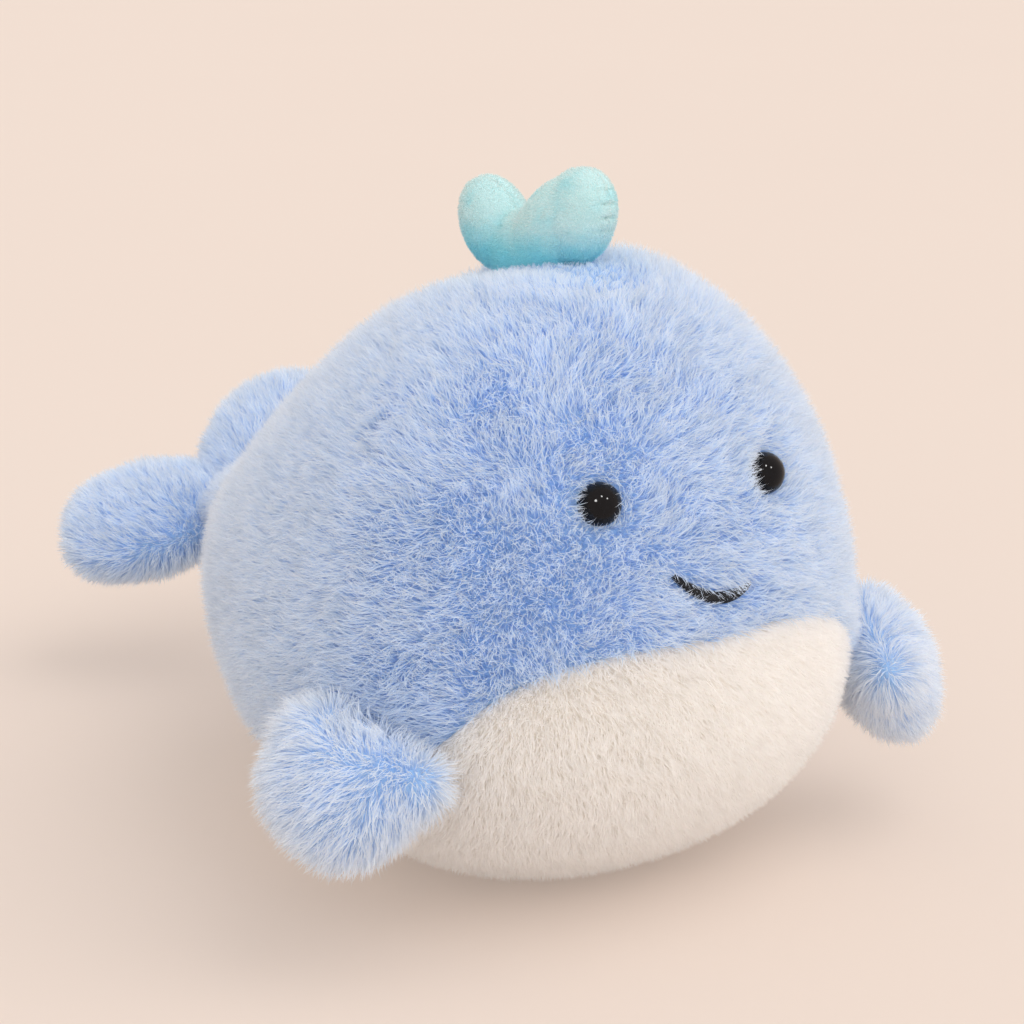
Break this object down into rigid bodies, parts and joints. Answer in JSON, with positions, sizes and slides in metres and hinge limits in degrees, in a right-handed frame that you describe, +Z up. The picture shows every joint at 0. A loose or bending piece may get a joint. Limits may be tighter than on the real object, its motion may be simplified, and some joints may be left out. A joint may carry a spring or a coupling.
{
  "type": "plush whale",
  "caption": "Egg-shaped long-pile plush whale with a cream belly, two flippers, a tail with flukes, a heart-shaped spout, domed eyes and an embroidered smile.",
  "frame": {"origin": "centre of the flat on the belly that the whale rests on", "axes": "+Z up, nose toward -Y, tail toward +Y, the whale's left side toward +X"},
  "size_m": [0.1796, 0.2448, 0.1538],
  "materials": {
    "blue_plush": "long pile plush",
    "cream_plush": "long pile plush",
    "aqua_velvet": "short velvety pile",
    "stuffing": "loose polyester fibre",
    "black_gloss": "polished",
    "washer_plastic": "moulded",
    "black_thread": "satin stitch"
  },
  "bodies": {
    "body": {"right_side_panel": "blue_plush", "left_side_panel": "blue_plush", "belly_panel": "cream_plush", "body_filling": "stuffing", "smile_embroidery": "black_thread", "right_eye": "black_gloss", "left_eye": "black_gloss", "right_eye_washer": "washer_plastic", "left_eye_washer": "washer_plastic"},
    "right_flipper": {"right_flipper_outer_panel": "blue_plush", "right_flipper_inner_panel": "blue_plush", "right_flipper_filling": "stuffing"},
    "left_flipper": {"left_flipper_outer_panel": "blue_plush", "left_flipper_inner_panel": "blue_plush", "left_flipper_filling": "stuffing"},
    "tail": {"tail_upper_panel": "blue_plush", "tail_lower_panel": "blue_plush", "tail_filling": "stuffing"},
    "flukes": {"fluke_upper_panel": "blue_plush", "fluke_lower_panel": "blue_plush", "fluke_filling": "stuffing"},
    "spout": {"spout_left_panel": "aqua_velvet", "spout_right_panel": "aqua_velvet", "spout_filling": "stuffing"}
  },
  "joints": [
    {"name": "right_flipper_lift", "type": "hinge", "parent": "body", "child": "right_flipper", "pos_m": [-0.06287, -0.04768, 0.05003], "axis": [-0.4938, 0.8554, 0.1564], "range_deg": [0, 60], "stiffness_Nm_per_rad": 0.05},
    {"name": "left_flipper_lift", "type": "hinge", "parent": "body", "child": "left_flipper", "pos_m": [0.06287, -0.04768, 0.05003], "axis": [-0.4938, -0.8554, -0.1564], "range_deg": [0, 60], "stiffness_Nm_per_rad": 0.05},
    {"name": "tail_pitch", "type": "hinge", "parent": "body", "child": "tail", "pos_m": [0, 0.084, 0.059], "axis": [1, 0, 0], "range_deg": [-20, 20], "stiffness_Nm_per_rad": 0.2},
    {"name": "fluke_flap", "type": "hinge", "parent": "tail", "child": "flukes", "pos_m": [0, 0.13, 0.0465], "axis": [0.8988, -0.0911, 0.4288], "range_deg": [-25, 25], "stiffness_Nm_per_rad": 0.1},
    {"name": "spout_tilt", "type": "hinge", "parent": "body", "child": "spout", "pos_m": [0, -0.00911, 0.1357], "axis": [0.2644, -0.9425, 0.2044], "range_deg": [-12, 12], "stiffness_Nm_per_rad": 0.03}
  ]
}
